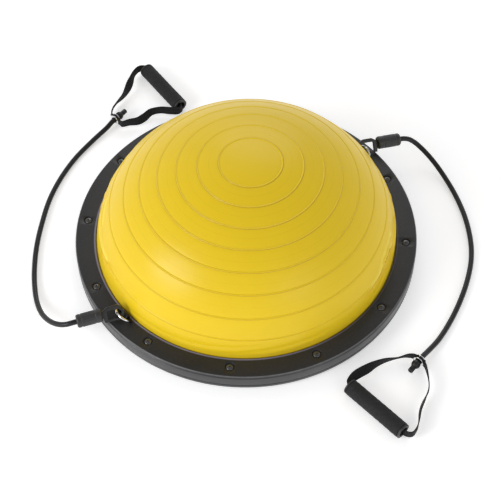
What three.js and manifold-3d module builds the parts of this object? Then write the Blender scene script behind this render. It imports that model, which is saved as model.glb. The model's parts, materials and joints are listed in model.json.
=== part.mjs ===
// Balance dome trainer: a rigid round platform, an air-filled dome clamped to it by a screwed ring,
// and two elastic tubes with handles, hooked to steel D-rings on the ring.
// Millimetres, +Z up, origin on the floor under the centre, front of the trainer towards -Y.
import * as THREE from 'three';
import { mergeVertices } from 'three/addons/utils/BufferGeometryUtils.js';
import Module from 'manifold-3d';

const wasm = await Module();
wasm.setup();

// ---- driving dimensions ----------------------------------------------------------------------
const GAP = 0.3; // clearance between touching pieces
const WAYS = 60; // sides of the large round pieces

const BASE_R = 290; // platform and clamp ring outer radius
const RING_TOP = 36; // height of the clamp ring's top face
const RING_THICK = 5;
const RING_LIP = 4; // rounding of the ring's inner edge
const PLATFORM_LOW = 2; // underside of the platform above the floor
const PLATFORM_FLOOR = 4; // thickness of the platform's floor
const PLATFORM_EDGE = 5; // rounding of the platform's lower outer edge

const RIM_WIDTH = 36.4; // from the dome out to the platform's edge
const DOME_R = BASE_R - RIM_WIDTH; // dome radius where it enters the ring
const DOME_HEIGHT = 221; // top of the dome above the floor
const DOME_EQUATOR = 30; // height of the dome's widest circle
const SKIN = 3; // dome membrane thickness
const FLANGE = 13; // width of the clamped flange outside the dome
const BEAD_W = 6; // bead along the flange's edge
const BEAD_H = 5.6;

const SCREWS = 12;
const SCREW_CIRCLE = BASE_R - 18.5;
const SCREW_PHASE = -6.2; // degrees
const HEAD_R = 5.4;
const HEAD_H = 2.9;
const SHANK_R = 2.2;
const SHANK_HOLE_R = 2.8;
const SCREW_LENGTH = 12;
const SINK_R = 7.6; // counterbore around each head
const SINK_DEPTH = 2.4;

const PADS = 6;
const PAD_R = 16;
const PAD_CIRCLE = BASE_R - 52;
const CENTRE_PAD_R = 34;
const PAD_SEAT = 1; // depth of the pads' recesses

const GRIP_POCKET = [104, 19, 17]; // finger recess under the rim: length, width, depth
const GRIP_POCKET_R = BASE_R - 21; // middle of the recess from the centre

const VALVE_Y = -78; // air valve, off centre
const VALVE_BORE_R = 5.5;
const VALVE_NECK_R = 11;
const VALVE_FLANGE_R = 18;
const FINGER_HOLE_R = 15; // hole in the platform around the valve

const ANCHOR_ANGLES = { left: -139.4, right: 38.2 };
const WIRE_R = 2; // D-ring wire
const D_R = 17; // D-ring bend radius, to the middle of the wire
const BAR_CIRCLE = BASE_R - 29; // the D-ring bar's distance from the centre
const D_TILT = 42; // D-ring above the ring's face, degrees
const SADDLE_W = 14;
const SADDLE_WALL = 1.5;

const EYE_R = 7.5; // hook eye inner half width
const HOOK_BAR = 4;
const HOOK_SPINE = 6.5; // bar on the side away from the gate
const HOOK_THICK = 6;
const EYE_STRAIGHT = 16;
const SHANK_HALF = 5.5;
const SHANK_RAISE = 3.5; // the shank's and the barrel's axis from the eye's, away from the gate
const NOSE_REACH = 3.6; // how far the nose comes back on the gate side
const GATE_THICK = 3;
const PIN_R = 1.2;
const BARREL_R = 11.3;
const BARREL_LENGTH = 42;
const BARREL_START = 24; // barrel's inner end from the middle of the eye
const SOCKET_DEPTH = 26; // wide part of the barrel's bore

const TUBE_R = 4.5;
const TUBE_STEPS = 30;
const TUBE_IN = 14; // length of tube inside the barrel

const STRAP_W = 16;
const STRAP_T = 1.8;
const STRAP_STEPS = 64;
const WASHER_R = 9.4;
const WASHER_BORE_R = 5.9;
const WASHER_T = 1.4;
const BALL_R = 7.4;
const STUB = 9; // tube stub showing beyond the ball

const GRIP_LENGTH = 116;
const FOAM_R = 13.5;
const CORE_R = 9.7;
const CORE_WALL = 1.1;
const CAP_T = 2.6;

const LAID_FOR_R = 290; // platform radius the handles are laid out around

// clip and band placing, one entry per side: where on the D-ring the hook sits (degrees along the
// bend), the hook's heading, its slope and its roll, and the tube's and the strap's routes
const SIDES = {
  left: {
    bend: -22,
    heading: 15,
    slope: 3,
    roll: 48,
    tube: [
      [-293, -190, 44.5], [-306, -185.5, 38], [-322, -173, 28.5], [-338, -151, 17.5], [-350, -121, 9],
      [-358, -80, 5], [-361, -37, 4.7], [-360, 5, 4.7], [-355, 49, 4.7], [-346, 99, 4.7],
      [-330, 147, 4.7], [-306, 195, 4.7], [-276, 236, 6.2], [-251, 264, 10],
    ],
    knot: [-237, 280],
    aim: 49,
    grip: [-150.5, 357.2],
    gripAim: -54.8,
    first: 'far',
    near: [
      [-224, 268], [-211, 272], [-195, 275], [-183, 284], [-172, 296], [-155, 301], [-136, 299],
      [-121, 299],
    ],
    far: [
      [-243, 304], [-236, 321], [-226, 336], [-219, 352], [-212, 375], [-206, 396], [-197, 407],
    ],
  },
  right: {
    bend: 12,
    heading: -164.5,
    slope: 5,
    roll: 134,
    tube: [
      [293, 195, 42.5], [304, 192, 37], [319, 182, 28], [337, 163, 17.5], [355, 133, 9],
      [371, 93, 5], [382, 46, 4.7], [386, -3, 4.7], [383, -43, 4.7], [373, -83, 4.7],
      [357, -125, 4.7], [335, -169, 4.7], [311, -207, 6.4], [290, -232, 10],
    ],
    knot: [276, -249],
    aim: -130,
    grip: [199.6, -337.2],
    gripAim: -46.8,
    first: 'near',
    near: [
      [286, -272], [287, -288], [285, -305], [277, -322], [269, -342], [265, -361], [260, -375],
      [252, -384],
    ],
    far: [
      [256, -241], [240, -245], [221, -249], [206, -255], [189, -265], [174, -274], [162, -284],
    ],
  },
};

const RING_UNDER = RING_TOP - RING_THICK;
const RING_INNER = DOME_R + 1.4;
const PLATFORM_TOP = RING_UNDER - GAP;
const TRAY_R = DOME_R + GAP;
const TRAY_FLOOR = PLATFORM_LOW + PLATFORM_FLOOR;
const FLANGE_TOP = RING_UNDER - GAP;
const FLANGE_UNDER = FLANGE_TOP - SKIN;
const FLANGE_R = DOME_R + FLANGE;
const SKIN_FLOOR = TRAY_FLOOR + GAP;
const HANDLE_Z = FOAM_R + 0.2;

const rad = THREE.MathUtils.degToRad;

// ---- materials -------------------------------------------------------------------------------
const paint = (color, roughness, metalness = 0) =>
  new THREE.MeshStandardMaterial({ color, roughness, metalness });
const darkPlastic = paint(0x2c2c2e, 0.55);
const platformPlastic = paint(0x38383a, 0.5);
const yellowSkin = paint(0xe0b92c, 0.32);
const blackSteel = paint(0x1d1d1f, 0.35, 0.9);
const chrome = paint(0xd8d8da, 0.12, 1);
const blackRubber = paint(0x222223, 0.65);
const hookPlastic = paint(0x242426, 0.42);
const foamRubber = paint(0x2a2a2b, 0.9);
const webbing = paint(0x1b1b1c, 0.95);

// ---- geometry helpers ------------------------------------------------------------------------
function bare(geometry) {
  geometry.deleteAttribute('normal');
  geometry.deleteAttribute('uv');
  const merged = mergeVertices(geometry, 1e-4);
  const flat = merged.index.array;
  const kept = [];
  for (let i = 0; i < flat.length; i += 3) {
    const [a, b, c] = [flat[i], flat[i + 1], flat[i + 2]];
    if (a !== b && b !== c && c !== a) kept.push(a, b, c);
  }
  const at = merged.attributes.position;
  let volume = 0;
  const [p, q, r] = [new THREE.Vector3(), new THREE.Vector3(), new THREE.Vector3()];
  for (let i = 0; i < kept.length; i += 3) {
    p.fromBufferAttribute(at, kept[i]);
    q.fromBufferAttribute(at, kept[i + 1]);
    r.fromBufferAttribute(at, kept[i + 2]);
    volume += p.dot(q.cross(r));
  }
  if (volume < 0) kept.reverse();
  merged.setIndex(kept);
  return merged;
}

function toSolid(geometry) {
  const clean = bare(geometry);
  return new wasm.Manifold(new wasm.Mesh({
    numProp: 3,
    vertProperties: new Float32Array(clean.attributes.position.array),
    triVerts: new Uint32Array(clean.index.array),
  }));
}

function toGeometry(solid) {
  const mesh = solid.getMesh();
  const geometry = new THREE.BufferGeometry();
  geometry.setAttribute('position', new THREE.BufferAttribute(mesh.vertProperties, 3));
  geometry.setIndex(new THREE.BufferAttribute(mesh.triVerts, 1));
  return geometry;
}

function cut(geometry, ...tools) {
  let solid = toSolid(geometry);
  for (const tool of tools) solid = solid.subtract(toSolid(tool));
  return toGeometry(solid);
}

// a turned piece about +Z; the outline is a list of [radius, height] that closes on itself or the axis
function turned(outline, sides = WAYS) {
  const points = outline.map(([r, z]) => new THREE.Vector2(r, z));
  return bare(new THREE.LatheGeometry(points, sides).rotateX(Math.PI / 2));
}

function ringOutline(outline) {
  return [...outline, outline[0]];
}

// points of a circular arc in an outline, angles in degrees
function arc(cx, cy, radius, from, to, steps) {
  return Array.from({ length: steps + 1 }, (_, i) => {
    const angle = rad(from + ((to - from) * i) / steps);
    return [cx + radius * Math.cos(angle), cy + radius * Math.sin(angle)];
  });
}

function post(radius, bottom, top, sides = 16) {
  const height = top - bottom;
  const geometry = new THREE.CylinderGeometry(radius, radius, height, sides);
  return geometry.rotateX(Math.PI / 2).translate(0, 0, bottom + height / 2);
}

function block(x, y, z) {
  return new THREE.BoxGeometry(x, y, z);
}

// a flat piece: an outline in the XY plane, given a thickness about Z = 0
function plate(outline, thick, holes = []) {
  const shape = new THREE.Shape(outline.map(([x, y]) => new THREE.Vector2(x, y)));
  for (const hole of holes) {
    shape.holes.push(new THREE.Path(hole.map(([x, y]) => new THREE.Vector2(x, y))));
  }
  const geometry = new THREE.ExtrudeGeometry(shape, { depth: thick, bevelEnabled: false });
  return bare(geometry.translate(0, 0, -thick / 2));
}

function swept(section, curve, steps) {
  const shape = new THREE.Shape(section.map(([x, y]) => new THREE.Vector2(x, y)));
  return bare(new THREE.ExtrudeGeometry(shape, { steps, extrudePath: curve, bevelEnabled: false }));
}

const circle = (radius, sides) => arc(0, 0, radius, 0, 360 - 360 / sides, sides - 1);

const trainer = new THREE.Group();

function add(parent, name, geometry, material) {
  const mesh = new THREE.Mesh(geometry, material);
  mesh.name = name;
  parent.add(mesh);
  return mesh;
}

function polar(radius, degrees, z = 0) {
  return new THREE.Vector3(radius * Math.cos(rad(degrees)), radius * Math.sin(rad(degrees)), z);
}

const screwAngles = Array.from({ length: SCREWS }, (_, i) => SCREW_PHASE + (360 / SCREWS) * i);
const padAngles = Array.from({ length: PADS }, (_, i) => (360 / PADS) * (i + 0.5));

// ---- platform and its pads -------------------------------------------------------------------
function platform() {
  const beadIn = FLANGE_R - BEAD_W - GAP;
  const beadLow = FLANGE_TOP - BEAD_H - GAP;
  const shelf = FLANGE_UNDER - GAP;
  const outline = [
    [0, PLATFORM_LOW],
    ...arc(BASE_R - PLATFORM_EDGE, PLATFORM_LOW + PLATFORM_EDGE, PLATFORM_EDGE, -90, 0, 3),
    [BASE_R, PLATFORM_TOP - 1],
    [BASE_R - 1, PLATFORM_TOP],
    [FLANGE_R + GAP, PLATFORM_TOP],
    [FLANGE_R + GAP, beadLow],
    [beadIn, beadLow],
    [beadIn, shelf],
    [TRAY_R, shelf],
    [TRAY_R, TRAY_FLOOR],
    [0, TRAY_FLOOR],
  ];
  const tools = [];
  for (const angle of screwAngles) {
    const at = polar(SCREW_CIRCLE, angle);
    const low = RING_TOP - SINK_DEPTH - SCREW_LENGTH - 1.5;
    tools.push(post(SHANK_HOLE_R, low, PLATFORM_TOP + 1, 8).translate(at.x, at.y, 0));
  }
  for (const angle of padAngles) {
    const at = polar(PAD_CIRCLE, angle);
    const seat = post(PAD_R + GAP, PLATFORM_LOW - 1, PLATFORM_LOW + PAD_SEAT, 16);
    tools.push(seat.translate(at.x, at.y, 0));
  }
  tools.push(post(CENTRE_PAD_R + GAP, PLATFORM_LOW - 1, PLATFORM_LOW + PAD_SEAT, 24));
  tools.push(post(FINGER_HOLE_R, PLATFORM_LOW - 1, TRAY_FLOOR + 1, 24).translate(0, VALVE_Y, 0));
  for (const side of [-1, 1]) {
    const [length, width, depth] = GRIP_POCKET;
    const pocket = block(length, width, depth + 1);
    tools.push(pocket.translate(0, side * GRIP_POCKET_R, PLATFORM_LOW + (depth - 1) / 2));
  }
  add(trainer, 'base_platform', cut(turned(outline), ...tools), platformPlastic);
}

function pad(name, radius, at, sides) {
  const top = PLATFORM_LOW + PAD_SEAT - GAP;
  const outline = [[0, 0], [radius - 0.8, 0], [radius, 0.8], [radius, top], [0, top]];
  add(trainer, name, turned(outline, sides).translate(at.x, at.y, 0), blackRubber);
}

platform();
pad('floor_pad_centre', CENTRE_PAD_R, new THREE.Vector3(), 24);
padAngles.forEach((angle, i) => pad(`floor_pad_${i + 1}`, PAD_R, polar(PAD_CIRCLE, angle), 16));

// ---- clamp ring and its screws ---------------------------------------------------------------
function clampRing() {
  const outline = ringOutline([
    [RING_INNER, RING_UNDER],
    [BASE_R - 0.6, RING_UNDER],
    [BASE_R, RING_UNDER + 0.8],
    [BASE_R, RING_TOP - 1.6],
    [BASE_R - 1.6, RING_TOP],
    ...arc(RING_INNER + RING_LIP, RING_TOP - RING_LIP, RING_LIP, 90, 180, 3),
  ]);
  const tools = [];
  for (const angle of screwAngles) {
    const at = polar(SCREW_CIRCLE, angle);
    const sink = post(SINK_R, RING_TOP - SINK_DEPTH, RING_TOP + 1, 12);
    tools.push(sink.translate(at.x, at.y, 0));
    tools.push(post(SHANK_HOLE_R, RING_UNDER - 1, RING_TOP, 8).translate(at.x, at.y, 0));
  }
  add(trainer, 'clamp_ring', cut(turned(outline), ...tools), darkPlastic);
}

function ringScrew(name, angle) {
  const seat = RING_TOP - SINK_DEPTH + GAP;
  const outline = [
    [0, seat - SCREW_LENGTH],
    [SHANK_R, seat - SCREW_LENGTH + 1.2],
    [SHANK_R, seat],
    [HEAD_R, seat],
    [HEAD_R * 0.86, seat + HEAD_H * 0.6],
    [HEAD_R * 0.45, seat + HEAD_H],
    [0, seat + HEAD_H],
  ];
  const at = polar(SCREW_CIRCLE, angle);
  add(trainer, name, turned(outline, 9).translate(at.x, at.y, 0), blackSteel);
}

clampRing();
screwAngles.forEach((angle, i) => ringScrew(`ring_screw_${i + 1}`, angle));

// ---- inflated dome with its valve ------------------------------------------------------------
// quarter of the dome's profile, from its top down to the clamp ring, inset by a wall
function domeProfile(inset, steps) {
  const rise = DOME_HEIGHT - DOME_EQUATOR;
  const start = Math.asin((RING_TOP - DOME_EQUATOR) / rise);
  const widest = DOME_R / Math.cos(start);
  return Array.from({ length: steps + 1 }, (_, i) => {
    const angle = Math.PI / 2 - ((Math.PI / 2 - start) * i) / steps;
    const radius = i === 0 ? 0 : (widest - inset) * Math.cos(angle);
    return [radius, DOME_EQUATOR + (rise - inset) * Math.sin(angle)];
  });
}

function dome() {
  const beadLow = FLANGE_TOP - BEAD_H;
  const outline = [
    ...domeProfile(0, 10),
    [DOME_R, FLANGE_TOP],
    [FLANGE_R, FLANGE_TOP],
    [FLANGE_R, beadLow],
    [FLANGE_R - BEAD_W, beadLow],
    [FLANGE_R - BEAD_W, FLANGE_UNDER],
    [DOME_R, FLANGE_UNDER],
    [DOME_R, SKIN_FLOOR],
    [0, SKIN_FLOOR],
  ];
  const hollow = [
    ...domeProfile(SKIN, 7),
    [DOME_R - SKIN, SKIN_FLOOR + SKIN],
    [0, SKIN_FLOOR + SKIN],
  ];
  const hole = post(VALVE_NECK_R + GAP, SKIN_FLOOR - 1, SKIN_FLOOR + SKIN + 1, 24);
  const skin = cut(turned(outline), turned(hollow), hole.translate(0, VALVE_Y, 0));
  add(trainer, 'dome_skin', skin, yellowSkin);
}

function valve() {
  const low = PLATFORM_LOW + 2.6;
  const seatTop = SKIN_FLOOR + SKIN + GAP;
  const collar = ringOutline([
    [VALVE_BORE_R, low],
    [VALVE_NECK_R, low],
    [VALVE_NECK_R, seatTop],
    [VALVE_FLANGE_R, seatTop],
    [VALVE_FLANGE_R, seatTop + 2.2],
    [VALVE_BORE_R, seatTop + 3.4],
  ]);
  add(trainer, 'valve_seat', turned(collar, 24).translate(0, VALVE_Y, 0), blackRubber);
  const stem = VALVE_BORE_R - GAP;
  const plug = [
    [0, low - 2.2],
    [VALVE_NECK_R - 1.6, low - 2.2],
    [VALVE_NECK_R - 1.6, low - GAP],
    [stem, low - GAP],
    [stem, seatTop + 1],
    [stem - 1.4, seatTop + 5],
    [0, seatTop + 5],
  ];
  add(trainer, 'air_plug', turned(plug, 20).translate(0, VALVE_Y, 0), blackRubber);
}

dome();
valve();

// ---- D-ring anchors --------------------------------------------------------------------------
const BAR_Z = RING_TOP + WIRE_R + 2 * GAP;
const TUNNEL_R = WIRE_R + GAP;
const SADDLE_R = TUNNEL_R + SADDLE_WALL;

// frame at the middle of the D-ring's bar: +X away from the dome, +Y along the bar
function anchorFrame(side) {
  const frame = new THREE.Group();
  frame.position.copy(polar(BAR_CIRCLE, ANCHOR_ANGLES[side], BAR_Z));
  frame.rotation.z = rad(ANCHOR_ANGLES[side]);
  trainer.add(frame);
  return frame;
}

function dRing(frame, side) {
  const half = [[0, GAP / 2], [0, D_R * 0.7], [D_R * 0.05, D_R * 0.92]];
  const bend = arc(0, 0, D_R, 74, -74, 10);
  const back = half.map(([x, y]) => [x, -y]).reverse();
  const points = [...half, ...bend, ...back].map(([x, y]) => new THREE.Vector3(x, y, 0));
  const curve = new THREE.CatmullRomCurve3(points, false, 'centripetal');
  const mesh = add(frame, `d_ring_${side}`, swept(circle(WIRE_R, 8), curve, 26), chrome);
  mesh.rotation.y = -rad(D_TILT);
}

// inverted channel over the bar, with one foot on the ring's face
function saddle(frame, side) {
  const low = RING_TOP + GAP - BAR_Z;
  const foot = SADDLE_R + 3.4;
  const outline = [
    [-SADDLE_R, low],
    ...arc(0, 0, SADDLE_R, 180, 0, 8),
    [SADDLE_R, low + 1.5],
    [foot, low + 1.5],
    [foot, low],
    [TUNNEL_R, low],
    ...arc(0, 0, TUNNEL_R, 0, 180, 6),
    [-TUNNEL_R, low],
  ];
  const bridge = plate(outline, SADDLE_W).rotateX(Math.PI / 2);
  add(frame, `saddle_${side}`, bridge, darkPlastic);
}

// ---- snap hooks ------------------------------------------------------------------------------
const HOOK_R = EYE_R + HOOK_BAR;
const PIVOT = [-EYE_STRAIGHT - 2.8, -HOOK_R + 2.7];
const GATE_EYE_R = 2.4;
const SPINE_R = EYE_R + HOOK_SPINE;

// frame of a snap hook: origin where the D-ring passes through, +X to the nose, gate on -Y
function hookFrame(side) {
  const place = SIDES[side];
  const tilt = rad(D_TILT);
  const bend = rad(place.bend);
  const out = D_R * Math.cos(bend);
  const across = D_R * Math.sin(bend);
  const at = new THREE.Vector3(out * Math.cos(tilt), across, out * Math.sin(tilt));
  at.applyAxisAngle(new THREE.Vector3(0, 0, 1), rad(ANCHOR_ANGLES[side]));
  at.add(polar(BAR_CIRCLE, ANCHOR_ANGLES[side], BAR_Z));
  const frame = new THREE.Group();
  frame.position.copy(at);
  frame.rotation.set(rad(place.roll), -rad(place.slope), rad(place.heading), 'ZYX');
  trainer.add(frame);
  return frame;
}

function hook(frame, side) {
  const lug = PIVOT[0] - GATE_EYE_R - 0.8;
  const outline = [
    [-EYE_STRAIGHT, -HOOK_R],
    [-EYE_STRAIGHT, EYE_R - 2.5],
    ...arc(-EYE_STRAIGHT + 2.5, EYE_R - 2.5, 2.5, 150, 90, 2),
    ...arc(0, 0, EYE_R, 90, -90, 10),
    [-NOSE_REACH, -EYE_R],
    [-NOSE_REACH, -HOOK_R + 1],
    [-NOSE_REACH + 1, -HOOK_R],
    ...arc(0, 0, HOOK_R, -90, 0, 6),
    ...arc(0, 0, HOOK_R, 15, 90, 5).map(([x, y]) => [x, (y * SPINE_R) / HOOK_R]),
    [-EYE_STRAIGHT + 2, SPINE_R],
    [-BARREL_START + 2, SHANK_RAISE + SHANK_HALF],
    [-BARREL_START - 7, SHANK_RAISE + SHANK_HALF],
    [-BARREL_START - 7, SHANK_RAISE - SHANK_HALF],
    [-BARREL_START + 0.6, SHANK_RAISE - SHANK_HALF],
    [lug, -HOOK_R],
  ];
  const slotTop = PIVOT[1] + GATE_EYE_R + 0.7;
  const slot = block(14, 12, GATE_THICK + 2 * GAP);
  slot.translate(PIVOT[0] + 7 - GATE_EYE_R - GAP, slotTop - 6, 0);
  const pinHole = post(PIN_R + GAP, -HOOK_THICK, HOOK_THICK, 12).translate(...PIVOT, 0);
  const body = cut(plate(outline, HOOK_THICK), slot, pinHole);
  add(frame, `hook_${side}`, body, hookPlastic);
}

function gate(frame, side) {
  const tip = -NOSE_REACH - GAP - PIVOT[0];
  const low = -HOOK_R + 0.3 - PIVOT[1];
  const high = -EYE_R - 0.3 - PIVOT[1];
  const outline = [
    ...arc(0, 0, GATE_EYE_R, 60, 270, 8),
    [tip, low],
    [tip, high],
    [GATE_EYE_R, high],
  ];
  const eye = circle(PIN_R + GAP, 12);
  const finger = plate(outline, GATE_THICK, [eye]).translate(...PIVOT, 0);
  add(frame, `gate_${side}`, finger, hookPlastic);
  const pin = post(PIN_R, -HOOK_THICK / 2, HOOK_THICK / 2, 12).translate(...PIVOT, 0);
  add(frame, `gate_pin_${side}`, pin, blackSteel);
}

// turns a piece so that its heights run along +X
const alongX = (geometry) => geometry.rotateY(Math.PI / 2);
const onShank = (geometry) => alongX(geometry).translate(0, SHANK_RAISE, 0);

function barrel(frame, side) {
  const near = -BARREL_START;
  const far = near - BARREL_LENGTH;
  const wide = Math.hypot(SHANK_HALF, HOOK_THICK / 2) + GAP;
  const narrow = TUBE_R + GAP;
  const outline = ringOutline([
    [narrow, far],
    [BARREL_R - 1.5, far],
    [BARREL_R, far + 1.5],
    [BARREL_R, near - 1.5],
    [BARREL_R - 1.5, near],
    [wide, near],
    [wide, near - SOCKET_DEPTH],
    [narrow, near - SOCKET_DEPTH],
  ]);
  add(frame, `barrel_${side}`, onShank(turned(outline, 20)), darkPlastic);
  const tubeEnd = far + TUBE_IN;
  const top = near - 7 - 2 * GAP;
  const cone = [
    [0, tubeEnd + GAP],
    [TUBE_R, tubeEnd + GAP],
    [TUBE_R, near - SOCKET_DEPTH + GAP],
    [wide - GAP, near - SOCKET_DEPTH + 4],
    [wide - GAP, top - 4],
    [TUBE_R - 1, top],
    [0, top],
  ];
  add(frame, `tube_plug_${side}`, onShank(turned(cone, 16)), blackRubber);
}

// ---- elastic tubes, straps and grips ---------------------------------------------------------
// a handle's point on the floor plan, moved outwards with the platform's edge
function besideRim(side, [x, y], z = HANDLE_Z) {
  const [knotX, knotY] = SIDES[side].knot;
  const away = new THREE.Vector3(knotX, knotY, 0).setLength(Math.abs(BASE_R - LAID_FOR_R));
  return new THREE.Vector3(x, y, z).addScaledVector(away, Math.sign(BASE_R - LAID_FOR_R));
}

// frame of the knot where a tube enters its strap: +X into the loop
function knotFrame(side) {
  const frame = new THREE.Group();
  frame.position.copy(besideRim(side, SIDES[side].knot));
  frame.rotation.z = rad(SIDES[side].aim);
  trainer.add(frame);
  frame.updateMatrixWorld();
  return frame;
}

const INNER_LAYER = STRAP_T + GAP;
const BALL_X = INNER_LAYER + STRAP_T / 2 + 2 * GAP + BALL_R;
const BALL_FACE = BALL_X - Math.sqrt(BALL_R ** 2 - TUBE_R ** 2);

function tube(side, clip, knot) {
  const start = -(BARREL_START + BARREL_LENGTH);
  clip.updateMatrixWorld();
  const inBarrel = [start + TUBE_IN, start, start - 6];
  const points = inBarrel.map((x) => clip.localToWorld(new THREE.Vector3(x, SHANK_RAISE, 0)));
  points.push(...SIDES[side].tube.map((p) => new THREE.Vector3(...p)));
  for (const x of [-8, BALL_FACE - GAP]) points.push(knot.localToWorld(new THREE.Vector3(x, 0, 0)));
  const curve = new THREE.CatmullRomCurve3(points, false, 'centripetal');
  add(trainer, `tube_${side}`, swept(circle(TUBE_R, 8), curve, TUBE_STEPS), blackRubber);
}

function stopper(knot, side) {
  const lean = Math.asin(TUBE_R / BALL_R) * THREE.MathUtils.RAD2DEG;
  const end = BALL_X + BALL_R + STUB;
  const outline = [
    [0, BALL_FACE],
    ...arc(0, BALL_X, BALL_R, lean - 90, 90 - lean, 6),
    [TUBE_R, end - 1],
    [TUBE_R - 1, end],
    [0, end],
  ];
  add(knot, `stopper_${side}`, alongX(turned(outline, 16)), blackRubber);
}

function washer(knot, side) {
  const middle = -(STRAP_T / 2 + 2 * GAP + WASHER_T / 2);
  const outline = ringOutline([
    [WASHER_BORE_R, middle - WASHER_T / 2],
    [WASHER_R - 0.4, middle - WASHER_T / 2],
    [WASHER_R, middle],
    [WASHER_R, middle + WASHER_T / 2],
    [WASHER_BORE_R, middle + WASHER_T / 2],
  ]);
  add(knot, `strap_washer_${side}`, alongX(turned(outline, 20)), chrome);
}

function gripEnds(side) {
  const { grip, gripAim } = SIDES[side];
  const along = polar(1, gripAim);
  const at = (reach) => besideRim(side, grip).addScaledVector(along, reach);
  return at;
}

function strap(knot, side) {
  const { near, far, first } = SIDES[side];
  const at = gripEnds(side);
  const half = GRIP_LENGTH / 2;
  const arm = (list) => list.map((point) => besideRim(side, point));
  const arms = { near: arm(near), far: arm(far) };
  const second = first === 'near' ? 'far' : 'near';
  const turn = first === 'near' ? 1 : -1;
  const through = [half + 3.5, half - 2, half * 0.5, 0, -half * 0.5, -half + 2, -half - 3.5];
  const flat = WASHER_R + 2;
  const local = (x, y) => knot.localToWorld(new THREE.Vector3(x, y, 0));
  const points = [
    local(INNER_LAYER, -flat),
    local(INNER_LAYER, 0),
    local(INNER_LAYER, flat),
    ...arms[first],
    ...through.map((reach) => at(reach * turn)),
    ...arms[second].reverse(),
    local(0, -flat),
    local(0, 0),
    local(0, flat),
  ];
  const curve = new THREE.CatmullRomCurve3(points, false, 'centripetal');
  const section = [
    [-STRAP_W / 2, -STRAP_T / 2], [STRAP_W / 2, -STRAP_T / 2],
    [STRAP_W / 2, STRAP_T / 2], [-STRAP_W / 2, STRAP_T / 2],
  ];
  const band = swept(section, curve, STRAP_STEPS);
  const hole = alongX(post(WASHER_BORE_R, -4, INNER_LAYER + 4, 20)).applyMatrix4(knot.matrixWorld);
  add(trainer, `strap_${side}`, cut(band, hole), webbing);
}

function grip(side) {
  const { grip: centre, gripAim } = SIDES[side];
  const frame = new THREE.Group();
  frame.position.copy(besideRim(side, centre));
  frame.rotation.z = rad(gripAim);
  trainer.add(frame);
  const half = GRIP_LENGTH / 2;
  const inner = half - CAP_T - GAP;
  const bore = CORE_R - CORE_WALL;
  const sleeve = (low, high, from, to) => ringOutline([[low, from], [high, from], [high, to], [low, to]]);
  const core = turned(sleeve(bore, CORE_R, -inner, inner), 20);
  add(frame, `grip_core_${side}`, alongX(core), darkPlastic);
  const foam = turned(ringOutline([
    [CORE_R + GAP, -inner],
    [FOAM_R - 1, -inner],
    [FOAM_R, -inner + 1],
    [FOAM_R, inner - 1],
    [FOAM_R - 1, inner],
    [CORE_R + GAP, inner],
  ]), 20);
  add(frame, `foam_grip_${side}`, alongX(foam), foamRubber);
  for (const [end, sign] of [['far', -1], ['near', 1]]) {
    const ring = turned(ringOutline([
      [bore, inner + GAP],
      [FOAM_R - 0.4, inner + GAP],
      [FOAM_R - 0.4, half - 0.8],
      [FOAM_R - 1.4, half],
      [bore, half],
    ]), 20);
    const cap = sign > 0 ? alongX(ring) : alongX(ring).rotateZ(Math.PI);
    add(frame, `grip_cap_${end}_${side}`, cap, darkPlastic);
  }
}

for (const side of ['left', 'right']) {
  const anchor = anchorFrame(side);
  dRing(anchor, side);
  saddle(anchor, side);
  const clip = hookFrame(side);
  hook(clip, side);
  gate(clip, side);
  barrel(clip, side);
  const knot = knotFrame(side);
  tube(side, clip, knot);
  stopper(knot, side);
  washer(knot, side);
  strap(knot, side);
  grip(side);
}

export default trainer;
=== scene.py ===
import json
import math

import bmesh
import bpy
import numpy as np
from mathutils import Matrix, Vector

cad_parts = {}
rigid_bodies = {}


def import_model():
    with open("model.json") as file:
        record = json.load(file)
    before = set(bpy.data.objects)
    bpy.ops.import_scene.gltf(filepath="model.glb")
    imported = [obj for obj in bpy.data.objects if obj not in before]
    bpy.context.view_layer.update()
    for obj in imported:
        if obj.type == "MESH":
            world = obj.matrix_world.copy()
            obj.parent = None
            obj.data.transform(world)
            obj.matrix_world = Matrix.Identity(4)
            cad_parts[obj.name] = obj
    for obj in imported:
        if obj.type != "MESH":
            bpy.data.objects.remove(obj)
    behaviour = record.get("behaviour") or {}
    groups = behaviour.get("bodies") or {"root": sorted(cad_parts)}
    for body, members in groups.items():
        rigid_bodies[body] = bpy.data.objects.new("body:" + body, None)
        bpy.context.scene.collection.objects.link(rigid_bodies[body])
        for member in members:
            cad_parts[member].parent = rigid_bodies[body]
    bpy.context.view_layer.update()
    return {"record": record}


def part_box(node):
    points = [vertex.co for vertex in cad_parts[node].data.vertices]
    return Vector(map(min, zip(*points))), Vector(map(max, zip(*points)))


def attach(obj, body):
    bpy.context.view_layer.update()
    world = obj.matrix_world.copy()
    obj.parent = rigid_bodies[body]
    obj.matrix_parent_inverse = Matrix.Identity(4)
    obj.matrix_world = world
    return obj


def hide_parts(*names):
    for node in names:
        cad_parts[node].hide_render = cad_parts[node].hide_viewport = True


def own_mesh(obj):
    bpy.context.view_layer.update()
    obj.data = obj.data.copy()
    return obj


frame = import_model()
JOINTS = {j["name"]: j for j in frame["record"]["behaviour"]["joints"]}
SIDES = ("left", "right")
OBJECTS = bpy.context.scene.collection.objects
AXIS = 0.0002  # turned outlines stop this short of their axis

# ---- camera ----
lens = bpy.data.cameras.new("camera")
lens.lens = 97.675
lens.sensor_width = 36
lens.clip_start = 0.05
lens.clip_end = 60
camera = bpy.data.objects.new("camera", lens)
OBJECTS.link(camera)
right = Vector((0.99986306, -0.01473981, -0.00752357))
up = Vector((0.016326, 0.80419772, 0.59413761))
ahead = Vector((0.00270704, 0.59417907, -0.80432823))
turn = Matrix((right, up, -ahead)).transposed().to_4x4()
camera.matrix_world = Matrix.Translation((0, -1.39926, 1.87537)) @ turn
bpy.context.scene.camera = camera
bpy.context.scene.view_settings.view_transform = "Standard"


# ---- materials ----
WARP_PITCH, WEFT_PITCH = 0.0013, 0.0017


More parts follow.
